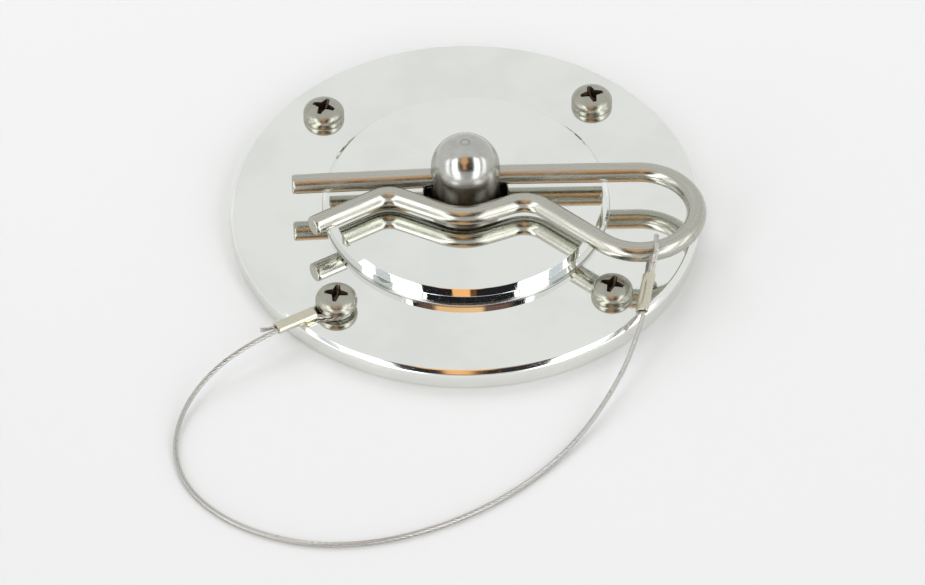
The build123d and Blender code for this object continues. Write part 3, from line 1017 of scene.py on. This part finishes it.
def merge(name, parts):
    """One object out of several that share a place, with the first one's materials."""
    shape = bmesh.new()
    for part in parts:
        shape.from_mesh(part.data)
    mesh = bpy.data.meshes.new(name)
    shape.to_mesh(mesh)
    shape.free()
    for material in parts[0].data.materials:
        mesh.materials.append(material)
    piece = bpy.data.objects.new(name, mesh)
    piece.location = parts[0].location
    bpy.context.scene.collection.objects.link(piece)
    for part in parts:
        bpy.data.objects.remove(part)
    weigh_normals(piece)
    return piece


# ---- Pin and its hardware --------------------------------------------------------------------------

THREAD_SHAPE = [(0.0, 0.0), (0.22, 0.0), (0.47, 0.94), (0.50, 1.0), (0.62, 1.0), (0.65, 0.94), (0.90, 0.0)]
THREAD_TOP = -7.0
THREAD_COLUMNS = 96


def make_pin():
    low, high = node_box("hold_down_pin")
    columns = THREAD_COLUMNS
    foot = low.z
    dome = [(STUD_R, THREAD_TOP)]
    dome += [(STUD_R, DOME_Z * share) for share in (0.0, 0.5, 1.0)]
    rim = asin(0.95 / STUD_R)
    for step in range(1, 25):
        angle = (pi / 2 - rim) * step / 24
        dome.append((STUD_R * cos(angle), DOME_Z + STUD_R * sin(angle)))
    apex = high.z
    dome += [(0.80, apex - 0.07), (0.66, apex - 0.13), (0.3, apex - 0.15), (0.05, apex - 0.22)]
    top_part = end_part(dome, columns)

    def radius_at(z, height):
        thread = THREAD_ROOT_R + (STUD_R - THREAD_ROOT_R) * height
        run_out = smooth_step(z, THREAD_TOP - 1.6, THREAD_TOP - 0.1)
        run_in = 1 - smooth_step(z, foot + 0.5, foot + 1.6)
        ring = thread + (STUD_R - thread) * run_out
        return ring + (THREAD_ROOT_R - ring) * run_in

    thread_part = helix_rows(THREAD_SHAPE, foot + 0.4, THREAD_TOP, THREAD_PITCH, columns, radius_at)
    foot_profile = [(THREAD_ROOT_R, foot + 0.4), (THREAD_ROOT_R - 0.4, foot), (0.05, foot)]
    foot_part = end_part(foot_profile, columns)
    pin = join("pin", [top_part, thread_part, foot_part], (0, PIN_Y, 0))
    clean(pin)
    reach = STUD_R + 2
    cut(pin, cylinder("hole", CROSS_HOLE_R, (-reach, PIN_Y, CLIP_Z), (reach, PIN_Y, CLIP_Z)))
    clean(pin, 34)
    dress(pin, MATERIALS["pin_steel"], "pin_steel", "pin", "hold_down_pin")


def hexagon(radius, z_of, columns):
    """Ring on the nut's six flats, its corners cut by the bevel, at heights that depend on the reach."""
    ring = []
    for column in range(columns):
        angle = 2 * pi * column / columns
        from_flat = (angle + pi / 6) % (pi / 3) - pi / 6
        reach = min(radius / cos(from_flat), radius / cos(pi / 6) - 0.12)
        ring.append((reach * cos(angle + pi / 6), reach * sin(angle + pi / 6), z_of(reach)))
    return np.array(ring)


def make_nut(node):
    """Hexagon jam nut, bevelled both sides, threaded to fit the pin."""
    low, high = node_box(node)
    columns = THREAD_COLUMNS
    slope = tan(radians(30))
    flat_r = NUT_FLATS_R - 0.25

    def bevel_down(reach):
        return high.z - 0.05 - max(0.0, reach - NUT_FLATS_R + 0.25) * slope

    def bevel_up(reach):
        return low.z + 0.05 + max(0.0, reach - NUT_FLATS_R + 0.25) * slope

    mouth = STUD_R + 0.25
    outside = strip([
        circle(mouth, low.z, columns),
        circle(flat_r, low.z, columns),
        hexagon(NUT_FLATS_R, bevel_up, columns),
        hexagon(NUT_FLATS_R, bevel_down, columns),
        circle(flat_r, high.z, columns),
        circle(mouth, high.z, columns),
    ])

    def radius_at(z, height):
        thread = THREAD_ROOT_R + 0.03 + (STUD_R - THREAD_ROOT_R) * height
        lead = max(1 - smooth_step(z, low.z, low.z + 0.9), smooth_step(z, high.z - 0.9, high.z))
        return thread + (mouth - thread) * lead

    turns = (low.z - (node_box("hold_down_pin")[0].z + 0.4)) / THREAD_PITCH
    start = turns - int(turns)
    shape = sorted(((share - start) % 1.0, height) for share, height in THREAD_SHAPE)
    inside = helix_rows(shape, low.z, high.z, THREAD_PITCH, columns, radius_at)
    nut = join(f"{node}_steel", [outside, inside], (0, PIN_Y, 0))
    clean(nut, 25)
    dress(nut, MATERIALS["nut_steel"], "nut_steel", "pin", node)


def make_lock_washer(node, turn):
    """Split spring washer: a flat ring with a slanted gap and sharp split ends."""
    low, high = node_box(node)
    middle = (low.z + high.z) / 2
    half_gap = degrees(asin(LOCK_SPLIT / 2 / LOCK_R)) * 1.25
    section = rounded([
        (LOCK_BORE_R, low.z, 0.18),
        (LOCK_R, low.z, 0.18),
        (LOCK_R, high.z, 0.18),
        (LOCK_BORE_R, high.z, 0.18),
    ], loop=True, steps=3)
    rings = []
    steps = 120
    for step in range(steps + 1):
        angle = turn + half_gap + (360 - 2 * half_gap) * step / steps
        ring = []
        for radius, z in section:
            lean = degrees((z - middle) * tan(radians(LOCK_SLANT)) / LOCK_R)
            ring.append((radius * cos(radians(angle + lean)), radius * sin(radians(angle + lean)), z))
        rings.append(np.array(ring))
    washer = add_mesh(f"{node}_steel", *skin(rings), (0, PIN_Y, 0))
    clean(washer, 30)
    dress(washer, MATERIALS["nut_steel"], "nut_steel", "pin", node)


def make_flat_washer(node):
    low, high = node_box(node)
    profile = rounded([
        (WASHER_BORE_R, low.z, 0.1),
        (WASHER_R, low.z, 0.12),
        (WASHER_R, high.z, 0.35),
        (WASHER_BORE_R, high.z, 0.2),
    ], loop=True)
    washer = lathe(f"{node}_steel", profile, 160, loop=True, at=(0, PIN_Y, 0))
    clean(washer)
    dress(washer, MATERIALS["nut_steel"], "nut_steel", "pin", node)


# ---- Hairpin clip ----------------------------------------------------------------------------------


def wire_path(corners):
    """Flat path at the clip's height through (x, y, radius) corners."""
    flat = rounded(corners, steps=28)
    return [(x, y, CLIP_Z) for x, y in flat]


def cut_end(path, radii, at_start):
    """Shortens the wire's last rings into a small bevelled, flat-cut end."""
    ends = ((0.0, 0.80), (0.10, 0.92), (0.26, 0.99))
    path = [np.array(point, float) for point in path]
    if not at_start:
        path.reverse()
        radii = list(reversed(radii))
    direction = path[1] - path[0]
    direction /= np.linalg.norm(direction)
    first = path[0]
    new_path = [first + direction * along for along, _ in ends]
    new_radii = [WIRE_R * share for _, share in ends]
    path = new_path + path[2:]
    radii = new_radii + list(radii[2:])
    if not at_start:
        path.reverse()
        radii.reverse()
    return path, radii


def wire_piece(name, path, at_start):
    """Round wire along a path with one flat-cut end, and drawn-wire grain."""
    path = [np.array(point) for point in resample(path, 0.35)]
    path, radii = cut_end(path, [WIRE_R] * len(path), at_start)
    piece = add_mesh(name, *skin(tube_rings(path, radii, 48)))
    clean(piece, 40)
    set_grain(piece, path, 0.02)
    return piece


def make_clip():
    """Leg and loop ride on the clip; the rest of the loop and the wavy arm are a second piece on no body.
    """
    steps = 60
    to_loop = (LOOP_X - LEG_BEND[0], -LOOP_R - LEG_BEND[1])
    touch = 90 + degrees(atan2(to_loop[1], to_loop[0]) + asin(LOOP_R / hypot(*to_loop)))
    leg = wire_path([(LEG_TIP_X, PIN_Y, 0), (*LEG_BEND, LEG_BEND_R), (*loop_point(touch)[:2], 0)])
    to_split = LOOP_SPLIT_ANGLE - touch
    leg += [loop_point(touch + to_split * step / steps) for step in range(1, steps + 1)]
    clip = wire_piece("clip_leg", leg, True)
    dress(clip, MATERIALS["spring_wire"], "spring_wire", "clip", "hairpin_clip")

    to_loop = (LOOP_X - INNER_CREST[0], -LOOP_R - INNER_CREST[1])
    heading = atan2(to_loop[1], to_loop[0]) - asin(LOOP_R / hypot(*to_loop))
    touch = degrees(heading) - 90
    to_touch = touch - LOOP_SPLIT_ANGLE
    arm = [loop_point(LOOP_SPLIT_ANGLE + to_touch * step / steps) for step in range(steps)]
    crests = zip((INNER_CREST, VALLEY, OUTER_CREST), CREST_RADII)
    corners = [(*loop_point(touch)[:2], 0)]
    corners += [(*crest, radius) for crest, radius in crests]
    corners.append((*ARM_TIP, 0))
    arm += wire_path(corners)
    spring = wire_piece("clip_spring_arm", arm, False)
    dress(spring, MATERIALS["spring_wire"], "spring_wire", None, "hairpin_arm")
    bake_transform(spring)


# ---- Scene -----------------------------------------------------------------------------------------

MATERIALS = {
    "polished_plate": plate_material(),
    "screw_steel": turned_material("screw_steel", (0.46, 0.455, 0.39), 0.30, 0.0012),
    # Painted shade: near-black brown for the walls of the screws' cross recess.
    "screw_recess_shade": plain_metal("screw_recess_shade", (0.13, 0.10, 0.075), 0.42, 900, 0.01),
    "pin_steel": pin_material(),
    "nut_steel": turned_material("nut_steel", (0.62, 0.61, 0.58), 0.24, 0.0015),
    "spring_wire": wire_material("spring_wire", (0.555, 0.55, 0.49), 0.24),
    "wire_rope": plain_metal("wire_rope", (0.68, 0.67, 0.64), 0.34, 900, 0.004),
    "crimp_sleeve": plain_metal("crimp_sleeve", (0.72, 0.69, 0.56), 0.27, 420, 0.006),
}

bpy.context.scene.view_settings.view_transform = "Standard"
add_camera()
make_lanyard()
make_plate()
for screw_name in SCREW_TURNS:
    make_screw(screw_name)
make_pin()
make_nut("upper_jam_nut")
make_lock_washer("upper_lock_washer", 35)
make_flat_washer("upper_flat_washer")
make_flat_washer("lower_flat_washer")
make_lock_washer("lower_lock_washer", -70)
make_nut("lower_jam_nut")
make_clip()
add_world()
add_light("back_light", (-0.08, 0.45, 0.50), (0.6, 0.4), 1.5)
add_light("front_light", (0.25, -0.50, 0.35), (0.5, 0.3), 0.4)
add_floor()
